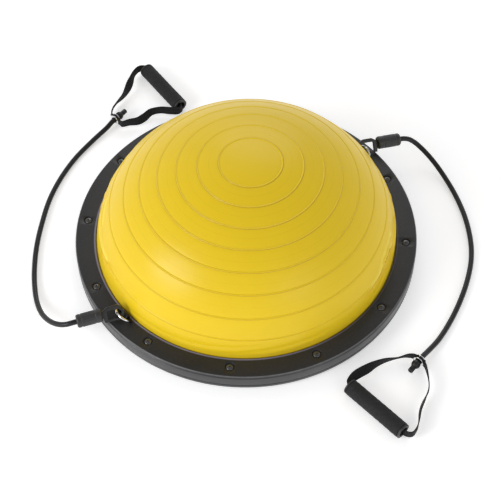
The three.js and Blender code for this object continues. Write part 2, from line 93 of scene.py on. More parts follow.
class Nodes:
    """A material's node tree, with short calls for the nodes used here."""

    def __init__(self, name):
        self.mat = bpy.data.materials.new(name)
        self.mat.use_nodes = True
        self.tree = self.mat.node_tree
        self.shader = self.tree.nodes["Principled BSDF"]
        self.coords = self.tree.nodes.new("ShaderNodeTexCoord")

    def link(self, a, b):
        self.tree.links.new(a, b)

    def noise(self, scale, detail=3.0, rough=0.55):
        n = self.tree.nodes.new("ShaderNodeTexNoise")
        n.inputs["Scale"].default_value = scale
        n.inputs["Detail"].default_value = detail
        n.inputs["Roughness"].default_value = rough
        self.link(self.coords.outputs["Object"], n.inputs["Vector"])
        return n.outputs["Fac"]

    def cells(self, scale):
        n = self.tree.nodes.new("ShaderNodeTexVoronoi")
        n.inputs["Scale"].default_value = scale
        self.link(self.coords.outputs["Object"], n.inputs["Vector"])
        return n.outputs["Distance"]

    def math(self, op, a, b=None, c=None):
        n = self.tree.nodes.new("ShaderNodeMath")
        n.operation = op
        for i, x in enumerate((a, b, c)):
            if x is None:
                continue
            if isinstance(x, (int, float)):
                n.inputs[i].default_value = x
            else:
                self.link(x, n.inputs[i])
        return n.outputs[0]

    def spread(self, value, lo, hi, low, high):
        n = self.tree.nodes.new("ShaderNodeMapRange")
        self.link(value, n.inputs["Value"])
        n.inputs["From Min"].default_value = lo
        n.inputs["From Max"].default_value = hi
        n.inputs["To Min"].default_value = low
        n.inputs["To Max"].default_value = high
        return n.outputs["Result"]

    def colours(self, value, stops):
        n = self.tree.nodes.new("ShaderNodeValToRGB")
        ramp = n.color_ramp
        while len(ramp.elements) < len(stops):
            ramp.elements.new(0.5)
        for element, (at, colour) in zip(ramp.elements, stops):
            element.position = at
            element.color = (*colour, 1)
        self.link(value, n.inputs["Fac"])
        return n.outputs["Color"]

    def mix(self, value, a, b):
        n = self.tree.nodes.new("ShaderNodeMix")
        n.data_type = "RGBA"
        for socket, x in ((n.inputs[0], value), (n.inputs[6], a), (n.inputs[7], b)):
            if isinstance(x, (int, float)):
                socket.default_value = x
            elif isinstance(x, tuple):
                socket.default_value = (*x, 1)
            else:
                self.link(x, socket)
        return n.outputs[2]

    def spot(self):
        """X, Y and Z of the object, and the distance from its Z axis."""
        split = self.tree.nodes.new("ShaderNodeSeparateXYZ")
        self.link(self.coords.outputs["Object"], split.inputs[0])
        x, y, z = split.outputs
        square = self.math("ADD", self.math("MULTIPLY", x, x), self.math("MULTIPLY", y, y))
        return x, y, z, self.math("SQRT", square)

    def both(self, a, b):
        return self.math("MULTIPLY", a, b)

    def surface(self):
        """The two values that the mesh keeps in its own UV layer."""
        layer = self.tree.nodes.new("ShaderNodeUVMap")
        layer.uv_map = "surface"
        split = self.tree.nodes.new("ShaderNodeSeparateXYZ")
        self.link(layer.outputs["UV"], split.inputs[0])
        return split.outputs[0], split.outputs[1]

    def convex_edges(self):
        """1 on convex edges, 0 elsewhere."""
        n = self.tree.nodes.new("ShaderNodeNewGeometry")
        return self.spread(n.outputs["Pointiness"], 0.52, 0.6, 0.0, 1.0)

    def bump(self, height, strength, distance, after=None):
        n = self.tree.nodes.new("ShaderNodeBump")
        n.inputs["Strength"].default_value = strength
        n.inputs["Distance"].default_value = distance
        self.link(height, n.inputs["Height"])
        if after is not None:
            self.link(after, n.inputs["Normal"])
        return n.outputs["Normal"]

    def done(self, colour=None, rough=None, normal=None, **fixed):
        if colour is not None:
            self.link(colour, self.shader.inputs["Base Color"])
        if rough is not None:
            self.link(rough, self.shader.inputs["Roughness"])
        if normal is not None:
            self.link(normal, self.shader.inputs["Normal"])
        for name, value in fixed.items():
            self.shader.inputs[name.replace("_", " ")].default_value = value
        return self.mat


def moulded(name, dark, light, rough, grain, depth, edges=0.35, **fixed):
    """Moulded plastic or rubber: cloudy tone, fine grain, paler on convex edges."""
    n = Nodes(name)
    tone = n.colours(n.noise(9, 4), ((0.3, dark), (0.7, light)))
    if edges:
        tone = n.mix(n.both(n.convex_edges(), edges), tone, tuple(min(1, c * 2.2) for c in light))
    gloss = n.spread(n.noise(35, 4), 0.3, 0.7, *rough)
    normal = n.bump(n.noise(grain, 3, 0.6), 0.6, depth)
    return n.done(tone, gloss, normal, **fixed)


def ring_material():
    """Matt top, a painted highlight on the lip round the dome and a patchy painted highlight along the
    outer arris.
    """
    n = Nodes("ring_plastic")
    x, _, z, radius = n.spot()
    tone = n.colours(n.noise(9, 4), ((0.3, (0.019, 0.019, 0.020)), (0.7, (0.026, 0.026, 0.028))))
    tone = n.mix(n.both(n.spread(n.noise(300, 3), 0.5, 0.75, 0, 1), 0.3), tone, (0.05, 0.05, 0.052))
    # painted highlight: a pale band on the lip round the dome, strongest on the left side
    lip = n.both(n.spread(radius, 0.2592, 0.2578, 0, 1), n.spread(z, 0.0364, 0.0361, 0, 1))
    lip = n.both(lip, n.spread(x, 0.02, 0.2, 1, 0.2))
    tone = n.mix(lip, tone, (0.21, 0.205, 0.32))
    # painted highlight along the outer arris, broken up by noise
    arris = n.both(n.spread(radius, 0.2884, 0.2888, 0, 1), n.spread(z, 0.0338, 0.0342, 0, 1))
    highlight_breakup = n.spread(n.noise(40, 3), 0.3, 0.6, 0.4, 1)
    tone = n.mix(n.both(arris, highlight_breakup), tone, (0.13, 0.13, 0.13))
    gloss = n.spread(n.noise(35, 4), 0.3, 0.7, 0.34, 0.44)
    normal = n.bump(n.noise(650, 3, 0.6), 0.6, 0.00025)
    return n.done(tone, gloss, normal, Specular_IOR_Level=0.36)


def dome_material():
    """Satin rubber: painted shade on the ribs' flanks, painted shade below and a painted highlight above
    each crease.
    """
    n = Nodes("dome_rubber")
    tone = n.colours(n.noise(5, 3), ((0.25, (0.80, 0.555, 0.012)), (0.75, (0.84, 0.59, 0.016))))
    speck = n.spread(n.noise(420, 2), 0.62, 0.75, 0.0, 0.06)
    tone = n.mix(speck, tone, (0.62, 0.42, 0.01))
    fold, rib = n.surface()
    # painted shade along both flanks of every rib
    flank = n.math("ABSOLUTE", n.math("SUBTRACT", rib, 0.0011))
    shade = n.spread(flank, 0.0002, 0.0010, 0.62, 0.0)
    tone = n.mix(shade, tone, (0.36, 0.22, 0.010))
    # painted shade below each crease, darker close to it
    tone = n.mix(n.spread(fold, -0.06, -0.2, 0.0, 0.5), tone, (0.80, 0.46, 0.010))
    tone = n.mix(n.spread(fold, -0.2, -0.5, 0.0, 0.55), tone, (0.34, 0.18, 0.006))
    # painted highlight just above each crease
    tone = n.mix(n.spread(fold, 0.2, 0.6, 0.0, 0.6), tone, (0.96, 0.80, 0.12))
    gloss = n.spread(n.noise(22, 5, 0.6), 0.3, 0.7, 0.3, 0.38)
    slow = n.bump(n.noise(14, 2), 0.25, 0.0016)
    slow = n.bump(n.spread(fold, -1, 1, 0, 1), 0.8, 0.0012, slow)
    normal = n.bump(n.noise(900, 2), 0.25, 0.00004, slow)
    return n.done(tone, gloss, normal, Specular_IOR_Level=0.28)


def webbing_material():
    """Woven tape: warp ribs along it, weft picks across it; its UV is (along, across) in metres."""
    n = Nodes("webbing")
    along, across = n.surface()
    warp = n.math("SINE", n.both(across, 2 * math.pi / WARP_PITCH))
    shift = n.both(n.math("SIGN", warp), math.pi / 2)
    pick = n.math("SINE", n.math("ADD", n.both(along, 2 * math.pi / WEFT_PITCH), shift))
    rib = n.math("ABSOLUTE", warp)
    weave = n.math("ADD", n.both(pick, 0.5), rib)
    fuzz = n.noise(1500, 3)
    height = n.math("ADD", weave, n.both(fuzz, 0.5))
    # painted shade: the tape is darker down in the weave's hollows than on its raised threads
    tone = n.colours(n.spread(weave, -0.5, 1.5, 0, 1),
                     ((0.1, (0.002, 0.002, 0.002)), (0.9, (0.010, 0.010, 0.011))))
    tone = n.mix(n.spread(n.noise(60, 3), 0.5, 0.8, 0, 0.3), tone, (0.014, 0.014, 0.015))
    normal = n.bump(height, 0.7, 0.0003)
    return n.done(tone, n.spread(fuzz, 0.3, 0.7, 0.62, 0.8), normal, Specular_IOR_Level=0.3)


def foam_material():
    """Open-pored foam with shallow dents."""
    n = Nodes("grip_foam")
    pores = n.cells(900)
    skin = n.noise(260, 4)
    # painted shade: darker inside the pores
    tone = n.colours(pores, ((0.05, (0.003, 0.003, 0.003)), (0.5, (0.016, 0.016, 0.017))))
    tone = n.mix(n.spread(n.noise(30, 3), 0.45, 0.7, 0, 0.4), tone, (0.022, 0.022, 0.023))
    dents = n.bump(skin, 0.5, 0.0006)
    normal = n.bump(pores, 0.6, 0.0004, dents)
    return n.done(tone, n.spread(skin, 0.3, 0.7, 0.66, 0.86), normal, Specular_IOR_Level=0.35)


def chrome_material():
    """Bright wire; the D-rings' ends by the dome are painted dark as shade from the dome."""
    n = Nodes("chrome_wire")
    smear = n.noise(120, 4)
    tone = n.colours(smear, ((0.3, (0.72, 0.72, 0.73)), (0.7, (0.86, 0.86, 0.87))))
    *_, radius = n.spot()
    # painted shade: wire inside the dome's edge radius is made near black
    tone = n.mix(n.spread(radius, 0.2675, 0.2705, 1, 0), tone, (0.02, 0.02, 0.02))
    gloss = n.spread(smear, 0.35, 0.7, 0.06, 0.2)
    return n.done(tone, gloss, n.bump(n.noise(700, 2), 0.15, 0.00003), Metallic=1.0)


# name: dark, light, roughness range, grain scale, grain depth, more
MOULDED = {
    "platform_plastic": ((0.028, 0.028, 0.030), (0.040, 0.040, 0.042), (0.3, 0.4), 480, 0.0002,
                         {"edges": 0}),
    "hook_plastic": ((0.011, 0.011, 0.012), (0.018, 0.018, 0.019), (0.3, 0.42), 700, 0.00012, {}),
    "barrel_plastic": ((0.022, 0.022, 0.023), (0.032, 0.032, 0.034), (0.42, 0.52), 800, 0.0002, {}),
    "band_rubber": ((0.006, 0.006, 0.007), (0.011, 0.011, 0.012), (0.3, 0.42), 1100, 0.00008,
                    {"Specular_IOR_Level": 0.4}),
    "pad_rubber": ((0.012, 0.012, 0.012), (0.02, 0.02, 0.02), (0.6, 0.75), 900, 0.0003, {}),
    "valve_rubber": ((0.012, 0.012, 0.012), (0.02, 0.02, 0.02), (0.45, 0.6), 900, 0.0002, {}),
    "grip_plastic": ((0.02, 0.02, 0.021), (0.034, 0.034, 0.035), (0.36, 0.48), 900, 0.00015, {}),
    "black_steel": ((0.07, 0.07, 0.071), (0.11, 0.11, 0.112), (0.16, 0.24), 900, 0.00005,
                    {"Metallic": 0.5}),
}
MATERIALS = {
    "dome_rubber": dome_material(),
    "webbing": webbing_material(),
    "grip_foam": foam_material(),
    "chrome_wire": chrome_material(),
    "ring_plastic": ring_material(),
    **{name: moulded(name, *looks, **more) for name, (*looks, more) in MOULDED.items()},
}


# ---- mesh helpers ----
def place(obj, slot, body, nodes=()):
    if obj.name not in OBJECTS:
        OBJECTS.link(obj)
    obj.data.materials.clear()
    obj.data.materials.append(MATERIALS[slot])
    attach(obj, body)
    if nodes:
        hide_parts(*nodes)
    return obj


def smoothed(data, sharp=38):
    data.shade_smooth()
    data.set_sharp_from_angle(angle=math.radians(sharp))
    return data


def to_mesh(name, verts, faces, uv=None, sharp=38):
    data = bpy.data.meshes.new(name)
    data.from_pydata(np.asarray(verts, float).tolist(), [], faces)
    data.update()
    if uv is not None:
        layer = data.uv_layers.new(name="surface")
        at = np.zeros(len(data.loops), int)
        data.loops.foreach_get("vertex_index", at)
        layer.data.foreach_set("uv", np.asarray(uv, np.float32)[at].ravel())
    return smoothed(data, sharp)


def grid_faces(rows, cols, wrap_rows=False, wrap_cols=True):
    """Quads of a grid of points, stored row by row."""
    faces = []
    for i in range(rows if wrap_rows else rows - 1):
        a, b = i * cols, ((i + 1) % rows) * cols
        for j in range(cols if wrap_cols else cols - 1):
            k = (j + 1) % cols
            faces.append((a + j, a + k, b + k, b + j))
    return faces


def capped_faces(rows, cols):
    """Faces of a section swept along an open path, with both ends closed."""
    count = rows * cols
    ends = [tuple(range(cols)), tuple(range(count - cols, count))[::-1]]
    return grid_faces(rows, cols) + ends


def turned(outline, segments, closed=False):
    """Points and faces of a piece turned about +Z; an open outline gets a cap at both ends."""
    outline = np.asarray(outline, float)
    angles = np.linspace(0, 2 * math.pi, segments, endpoint=False)
    ring = np.stack([np.cos(angles), np.sin(angles)], 1)
    verts = np.concatenate([
        np.column_stack([ring * max(r, 1e-5), np.full(segments, z)]) for r, z in outline])
    rows = len(outline)
    faces = grid_faces(rows, segments, wrap_rows=closed)
    if not closed:
        faces.append(tuple(range(segments))[::-1])
        faces.append(tuple((rows - 1) * segments + j for j in range(segments)))
    return verts, faces


def round_off(outline, radius, steps=4, closed=True):
    """An outline of (x, y, own radius or None) with its corners rounded."""
    points = [np.asarray(p[:2], float) for p in outline]
    radii = [p[2] if len(p) > 2 and p[2] is not None else radius for p in outline]
    out = []
    count = len(points)
    for i, p in enumerate(points):
        if not closed and i in (0, count - 1):
            out.append(p)
            continue
        a, b = points[i - 1] - p, points[(i + 1) % count] - p
        la, lb = np.linalg.norm(a), np.linalg.norm(b)
        cos = float(np.clip(a @ b / (la * lb), -1, 1))
        half = math.acos(cos) / 2
        if radii[i] <= 0 or half > math.radians(86):
            out.append(p)
            continue
        reach = min(radii[i] / math.tan(half), 0.45 * la, 0.45 * lb)
        start, end = p + a / la * reach, p + b / lb * reach
        for k in range(steps + 1):
            t = k / steps
            out.append((1 - t) ** 2 * start + 2 * t * (1 - t) * p + t * t * end)
    return np.array(out)


def catmull(points, samples):
    """Centripetal Catmull-Rom through the points, as evenly spaced samples."""
    p = np.asarray(points, float)
    p = np.vstack([2 * p[0] - p[1], p, 2 * p[-1] - p[-2]])
    dense = []
    for i in range(1, len(p) - 2):
        a, b, c, d = p[i - 1:i + 3]
        ab, bc, cd = (np.linalg.norm(y - x) ** 0.5 for x, y in ((a, b), (b, c), (c, d)))
        m = bc * ((b - a) / ab - (c - a) / (ab + bc) + (c - b) / bc)
        n = bc * ((c - b) / bc - (d - b) / (bc + cd) + (d - c) / cd)
        t = np.linspace(0, 1, 40, endpoint=False)[:, None]
        dense.append((2 * t**3 - 3 * t**2 + 1) * b + (t**3 - 2 * t**2 + t) * m
                     + (3 * t**2 - 2 * t**3) * c + (t**3 - t**2) * n)
    dense = np.vstack(dense + [p[-2:-1]])
    run = np.concatenate([[0], np.cumsum(np.linalg.norm(np.diff(dense, axis=0), axis=1))])
    at = np.linspace(0, run[-1], samples)
    return np.stack([np.interp(at, run, dense[:, k]) for k in range(3)], 1), run[-1]


def unit(v):
    v = np.asarray(v, float)
    return v / np.linalg.norm(v, axis=-1, keepdims=True)


def tangents(path):
    return unit(np.gradient(path, axis=0))


def swept(path, section, sideways, lift):
    """Points of a section swept along a path: x of the section along sideways, y along lift."""
    section = np.asarray(section, float)
    return (path[:, None, :] + section[None, :, :1] * sideways[:, None, :]
            + section[None, :, 1:] * lift[:, None, :]).reshape(-1, 3)


def carried(verts, matrix):
    verts = np.asarray(verts, float)
    m = np.asarray(matrix, float)
    return verts @ m[:3, :3].T + m[:3, 3]


def frame_matrix(origin, x, y, z):
    m = np.eye(4)
    m[:3, 0], m[:3, 1], m[:3, 2], m[:3, 3] = x, y, z, origin
    return m


def along_x(verts):
    """Turns a piece made about +Z so that its heights run along +X."""
    verts = np.asarray(verts, float)
    return np.stack([verts[:, 2], verts[:, 1], -verts[:, 0]], 1)


def add_line(curve, points):
    spline = curve.splines.new("POLY")
    spline.points.add(len(points) - 1)
    for point, at in zip(spline.points, points):
        point.co = (*at, 1)
    return spline


def evaluated(obj):
    graph = bpy.context.evaluated_depsgraph_get()
    return bpy.data.meshes.new_from_object(obj.evaluated_get(graph))


def plate(name, outline, thick, round_edge):
    """A flat plate about Z = 0 with rounded edges, from an outline in metres."""
    curve = bpy.data.curves.new(name, "CURVE")
    curve.dimensions = "2D"
    curve.fill_mode = "BOTH"
    curve.extrude = thick / 2 - round_edge
    curve.bevel_depth = round_edge
    curve.bevel_resolution = 3
    curve.offset = -round_edge
    spline = add_line(curve, [(x, y, 0) for x, y in outline])
    spline.use_cyclic_u = True
    temp = bpy.data.objects.new(name, curve)
    OBJECTS.link(temp)
    bpy.context.view_layer.update()
    data = evaluated(temp)
    bpy.data.objects.remove(temp)
    return data


def weld(data, distance=1e-6):
    """Joins doubled points and turns the faces outward."""
    bm = bmesh.new()
    bm.from_mesh(data)
    bmesh.ops.remove_doubles(bm, verts=bm.verts, dist=distance)
    bmesh.ops.recalc_face_normals(bm, faces=bm.faces)
    bm.to_mesh(data)
    bm.free()
    return data


def carve(data, cutters, sharp=38):
    """The mesh with the cutters' volumes taken out; cutters is a list of (verts, faces)."""
    verts, faces = [], []
    for v, f in cutters:
        base = sum(len(x) for x in verts)
        verts.append(np.asarray(v, float))
        faces += [tuple(base + i for i in face) for face in f]
    tool = bpy.data.objects.new("tool", weld(to_mesh("tool", np.vstack(verts), faces), 1e-7))
    work = bpy.data.objects.new("work", weld(data, 1e-7))
    for o in (tool, work):
        OBJECTS.link(o)
    step = work.modifiers.new("carve", "BOOLEAN")
    step.object = tool
    step.operation = "DIFFERENCE"
    step.solver = "EXACT"
    bpy.context.view_layer.update()
    cut = evaluated(work)
    bpy.data.objects.remove(work)
    bpy.data.objects.remove(tool)
    return smoothed(cut, sharp)


def moved(verts, x, y, z=0.0):
    return np.asarray(verts, float) + np.array([x, y, z])


def drill(outline, segments, x=0.0, y=0.0):
    """A cutter: an outline of (radius, height) turned about an upright axis at x, y."""
    verts, faces = turned(outline, segments)
    return moved(verts, x, y), faces


def around(radius, angle):
    return radius * math.cos(angle), radius * math.sin(angle)


def arc(cx, cy, radius, start, end, steps):
    a = np.radians(np.linspace(start, end, steps + 1))
    return [(cx + radius * math.cos(t), cy + radius * math.sin(t)) for t in a]


def new_piece(name, data, slot, body, nodes=()):
    data.name = name
    return place(bpy.data.objects.new(name, data), slot, body, nodes)


def centre(node):
    lo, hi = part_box(node)
    return (np.array(lo) + np.array(hi)) / 2


# ---- frames of the clips, knots and grips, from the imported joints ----
RAISE = 0.0035  # height of the barrel's axis above the hook's, at BARREL_MID from its eye
BARREL_MID = 0.045


def joint(name):
    return np.array(JOINTS[name]["pos_m"]), unit(JOINTS[name]["axis"])


def clip_frame(side):
    """The hook's eye at the origin, its barrel along -X, its side along Z."""
    origin, _ = joint(f"band_swing_{side}")
    _, z = joint(f"gate_press_{side}")
    run = origin - centre(f"barrel_{side}")
    run = unit(run - z * (run @ z))
    turn = math.atan2(RAISE, BARREL_MID)
    x = math.cos(turn) * run + math.sin(turn) * np.cross(z, run)
    return frame_matrix(origin, x, np.cross(z, x), z)


def knot_frame(side):
    """The strap's eyelet at the origin, the stopper ball along +X."""
    origin, _ = joint(f"handle_turn_{side}")
    x = unit((centre(f"stopper_{side}") - origin) * [1, 1, 0])
    return frame_matrix(origin, x, np.cross([0, 0, 1], x), [0, 0, 1])


def grip_frame(side):
    origin, x = joint(f"grip_spin_{side}")
    return frame_matrix(origin, x, np.cross([0, 0, 1], x), [0, 0, 1])


def anchor_frame(side):
    origin, y = joint(f"ring_pivot_{side}")
    return frame_matrix(origin, np.cross(y, [0, 0, 1]), y, [0, 0, 1])


CLIP = {s: clip_frame(s) for s in SIDES}
KNOT = {s: knot_frame(s) for s in SIDES}
GRIP = {s: grip_frame(s) for s in SIDES}
ANCHOR = {s: anchor_frame(s) for s in SIDES}

# ---- elastic tubes ----
TUBE_R = 0.0045
BARREL_END = -0.066
ROUTE = {
    "left": [
        (-0.293, -0.190, 0.0445), (-0.306, -0.1855, 0.038), (-0.322, -0.173, 0.0285),
        (-0.338, -0.151, 0.0175), (-0.350, -0.121, 0.009), (-0.358, -0.080, 0.005),
        (-0.361, -0.037, 0.0047), (-0.360, 0.005, 0.0047), (-0.355, 0.049, 0.0047),
        (-0.346, 0.099, 0.0047), (-0.330, 0.147, 0.0047), (-0.306, 0.195, 0.0047),
        (-0.276, 0.236, 0.0062), (-0.251, 0.264, 0.010)],
    "right": [
        (0.293, 0.195, 0.0425), (0.304, 0.192, 0.037), (0.319, 0.182, 0.028),
        (0.337, 0.163, 0.0175), (0.355, 0.133, 0.009), (0.371, 0.093, 0.005),
        (0.382, 0.046, 0.0047), (0.386, -0.003, 0.0047), (0.383, -0.043, 0.0047),
        (0.373, -0.083, 0.0047), (0.357, -0.125, 0.0047), (0.335, -0.169, 0.0047),
        (0.311, -0.207, 0.0064), (0.290, -0.232, 0.010)],
}
for side in SIDES:
    start = [carried([(x, RAISE, 0)], CLIP[side])[0] for x in (-0.052, BARREL_END, -0.072)]
    end = [carried([(x, 0, 0)], KNOT[side])[0] for x in (-0.008, 0.0048)]
    path, length = catmull([*start, *ROUTE[side], *end], 220)
    curve = bpy.data.curves.new(f"band_tube_{side}", "CURVE")
    curve.dimensions = "3D"
    curve.bevel_depth = TUBE_R
    curve.bevel_resolution = 6
    curve.use_fill_caps = True
    add_line(curve, path)
    tube = bpy.data.objects.new(f"band_tube_{side}", curve)
    place(tube, "band_rubber", f"band_{side}", [f"tube_{side}"])

# ---- inflated dome ----
DOME_A, DOME_B, DOME_C = 0.2537, 0.1902, 0.0306  # half width, rise and middle of the ellipse
DOME_TOP = DOME_C + DOME_B
FOOT_Z = 0.0308
RIBS = (0.0515, 0.0856, 0.1193, 0.1501, 0.1798, 0.2062, 0.2302, 0.2465)
RIB_HEIGHT, RIB_SIGMA = 0.0011, 0.00072
RIB_DIP, RIB_DIP_SIGMA = 0.00025, 3.2 * RIB_SIGMA
CREASE_HEIGHT, CREASE_WIDTH, CREASE_FADE = 0.0023, 0.0055, 0.012
PUSH_LIMIT, FOOT_FADE = 0.002, 0.012
OVERRUN = 0.15  # of a fold's length, past both its ends
LEAN, LEAN_FROM = 0.0513, 0.037
STRETCH = 1.25  # length of the wall per metre of height where the creases are

# soft folds in the membrane low down: azimuth and height at both ends, width, depth
FOLDS = (
    (150, 0.108, 172, 0.060, 0.0045, 0.0016),
    (158, 0.098, 186, 0.047, 0.0035, 0.0018),
    (171, 0.092, 196, 0.052, 0.0030, 0.0012),
    (186, 0.075, 205, 0.046, 0.0030, 0.0010),
    (30, 0.094, 8, 0.058, 0.0040, 0.0014),
    (18, 0.100, -8, 0.050, 0.0035, 0.0018),
    (4, 0.090, -16, 0.055, 0.0032, 0.0015),
    (-4, 0.076, -26, 0.047, 0.0030, 0.0012),
    (-20, 0.064, -40, 0.045, 0.0028, 0.0009),
    (-62, 0.056, -92, 0.050, 0.0035, 0.0009),
    (-88, 0.062, -124, 0.049, 0.0035, 0.0010),
    (-118, 0.054, -142, 0.047, 0.0028, 0.0008),
    (62, 0.072, 92, 0.052, 0.0035, 0.0010),
    (96, 0.064, 128, 0.050, 0.0035, 0.0010),
)

# sharp creases beside the clips: azimuth and height along each
CREASES = (
    ((172.8, 0.103), (176.4, 0.0977), (179.7, 0.0939), (182.8, 0.0915), (186.0, 0.0850)),
    ((170.5, 0.0905), (174.4, 0.0845), (179.6, 0.0815), (182.8, 0.078), (187.5, 0.0739),
     (192.5, 0.0735), (197.2, 0.0752), (202.6, 0.0772)),
    ((-10.5, 0.0860), (-14.2, 0.0912), (-18.1, 0.0902), (-20.8, 0.0906), (-24.9, 0.089),
     (-28.0, 0.0796), (-30.3, 0.0755), (-35.7, 0.0745), (-38.9, 0.0699)),
    ((-12.9, 0.0739), (-19.1, 0.0829), (-23.6, 0.0803), (-27.7, 0.0728)),
)


def unrolled(azimuth, middle):
    """Distance round the dome, cut open on the side away from middle."""
    return ((azimuth - middle + math.pi) % (2 * math.pi) - math.pi + middle) * DOME_A


def crease_relief(azimuth, height):
    """+1 just above a crease, -1 just below it, 0 away from it."""
    relief = np.zeros(azimuth.shape)
    for crease in CREASES:
        nearest = np.full(azimuth.shape, 1.0)
        line = np.array([(math.radians(a) * DOME_A, z * STRETCH) for a, z in crease])
        u = unrolled(azimuth, line[:, 0].mean() / DOME_A)
        v = height * STRETCH
        for (u0, v0), (u1, v1) in zip(line, line[1:]):
            du, dv = u1 - u0, v1 - v0
            t = np.clip(((u - u0) * du + (v - v0) * dv) / (du * du + dv * dv), 0, 1)
            gap = np.hypot(u - u0 - t * du, v - v0 - t * dv)
            signed = np.where(v > v0 + t * dv, gap, -gap)
            nearest = np.where(gap < np.abs(nearest), signed, nearest)
        ends = np.minimum(*(np.hypot(u - line[i, 0], v - line[i, 1]) for i in (0, -1)))
        faded = np.exp(-np.abs(nearest) / CREASE_WIDTH) * np.clip(ends / CREASE_FADE, 0, 1)
        relief += np.sign(nearest) * faded
    return np.clip(relief, -1, 1)


def fold_push(azimuth, height):
    """How far the soft folds stand out of the dome."""
    push = np.zeros(azimuth.shape)
    for a0, z0, a1, z1, width, depth in FOLDS:
        start, end = (np.array([math.radians(a) * DOME_A, z]) for a, z in ((a0, z0), (a1, z1)))
        line = end - start
        du = unrolled(azimuth, math.radians((a0 + a1) / 2)) - start[0]
        dv = height - start[1]
        t = np.clip((du * line[0] + dv * line[1]) / (line @ line), -OVERRUN, 1 + OVERRUN)
        off_u, off_v = du - t * line[0], dv - t * line[1]
        gap = np.hypot(off_u, off_v) * np.sign(off_u * -line[1] + off_v * line[0])
        share = np.clip((t + OVERRUN) / (1 + 2 * OVERRUN), 0, 1)
        fade = np.clip(np.sin(share * math.pi), 0, 1) ** 0.8
        push += fade * depth * (0.8 * np.exp(-((gap - 1.6 * width) / (1.3 * width)) ** 2)
                                - np.exp(-(gap / width) ** 2))
    return push


def dome_rings(theta_rib):
    """Angles from the top, closer together at the ribs and the creases."""
    theta_end = math.acos((FOOT_Z - DOME_C) / DOME_B)
    creased = np.linspace(0.066 - DOME_C, 0.106 - DOME_C, 34)
    steps = set(np.round(np.linspace(0.004, theta_end, 110), 6))
    steps |= set(np.round(np.arccos(creased / DOME_B), 6))
    for t in theta_rib:
        steps |= set(np.round(t + np.linspace(-0.018, 0.018, 17), 6))
    return np.array(sorted(s for s in steps if 0.003 < s <= theta_end))


def dome():
    """Points, faces and marks: crease relief and distance from the nearest rib at each point."""
    theta_rib = np.arcsin(np.clip(np.array(RIBS) / DOME_A, 0, 1))
    theta = dome_rings(theta_rib)
    columns = 540
    az = np.linspace(0, 2 * math.pi, columns, endpoint=False)
    T, A = np.meshgrid(theta, az, indexing="ij")
    radius, height = DOME_A * np.sin(T), DOME_C + DOME_B * np.cos(T)
    normal_r, normal_z = np.sin(T) / DOME_A, np.cos(T) / DOME_B
    size = np.hypot(normal_r, normal_z)
    normal_r, normal_z = normal_r / size, normal_z / size
    push = np.zeros_like(T)
    for t in theta_rib:
        along = (T - t) * np.hypot(DOME_A * np.cos(t), DOME_B * np.sin(t))
        push += RIB_HEIGHT * np.exp(-(along / RIB_SIGMA) ** 2 / 2)
        push -= RIB_DIP * np.exp(-(along / RIB_DIP_SIGMA) ** 2 / 2)
    push += fold_push(A, height)
    creased = crease_relief(A, height)
    push += CREASE_HEIGHT * creased
    push *= np.clip((height - FOOT_Z) / FOOT_FADE, 0, 1)
    push = np.minimum(push, PUSH_LIMIT)
    radius, height = radius + push * normal_r, height + push * normal_z
    x = radius * np.cos(A) + LEAN * np.clip(height - LEAN_FROM, 0, None)
    y = radius * np.sin(A)
    verts = np.stack([x, y, height], -1).reshape(-1, 3)
    meridian = np.concatenate([[0], np.cumsum(np.hypot(*np.diff(
        [DOME_A * np.sin(theta), DOME_B * np.cos(theta)], axis=1)))])
    ribs_at = np.interp(theta_rib, theta, meridian)
    from_rib = meridian[:, None] - ribs_at
    from_rib = from_rib[np.arange(len(theta)), np.abs(from_rib).argmin(1)]
    marks = np.stack([creased, np.repeat(from_rib[:, None], columns, 1)], -1).reshape(-1, 2)
    marks = np.vstack([marks, [(0, 1)]])
    faces = [f[::-1] for f in grid_faces(len(theta), columns)]
    top = len(verts)
    verts = np.vstack([verts, [(LEAN * (DOME_TOP - LEAN_FROM), 0, DOME_TOP)]])
    faces += [(j, (j + 1) % columns, top) for j in range(columns)]
    foot = (len(theta) - 1) * columns
    faces.append(tuple(foot + j for j in range(columns))[::-1])
    return verts, faces, marks


verts, faces, marks = dome()
skin = to_mesh("dome_cover", verts, faces, uv=marks, sharp=80)
# Pressing lowers the top with its body.
cover = new_piece("dome_cover", weld(skin, 1e-8), "dome_rubber", "dome", ["dome_skin"])
skin.shade_smooth()
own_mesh(cover)

EQUATOR, FLANGE, FLANGE_TOP, BEAD = 0.2536, 0.2666, 0.0307, 0.0056
MEMBRANE, VALVE_Y = 0.003, -0.078
under = round_off([
    (AXIS, 0.0063), (EQUATOR, 0.0063), (EQUATOR, FLANGE_TOP - MEMBRANE),
    (FLANGE - 0.006, FLANGE_TOP - MEMBRANE), (FLANGE - 0.006, FLANGE_TOP - BEAD),
    (FLANGE, FLANGE_TOP - BEAD), (FLANGE, FLANGE_TOP), (EQUATOR - 0.0004, FLANGE_TOP),
    (EQUATOR - MEMBRANE, FLANGE_TOP - MEMBRANE), (EQUATOR - MEMBRANE, 0.0093), (AXIS, 0.0093),
], 0.0007, closed=False)
v, f = turned(under, 144)
hole = drill([(0.0, 0.0), (0.0113, 0.0), (0.0113, 0.02), (0.0, 0.02)], 48, 0, VALVE_Y)
floor_skin = carve(to_mesh("dome_floor", v, f), [hole])
new_piece("dome_floor", floor_skin, "dome_rubber", "base")

# ---- platform, clamp ring and screws ----
BASE_R = 0.290
RING_TOP = 0.036
PHASE = math.radians(-6.2)
SCREW_CIRCLE = 0.2715
PAD_CIRCLE = 0.238
SCREW_ANGLES = [PHASE + math.radians(30 * i) for i in range(12)]
PAD_ANGLES = [math.radians(60 * i + 30) for i in range(6)]

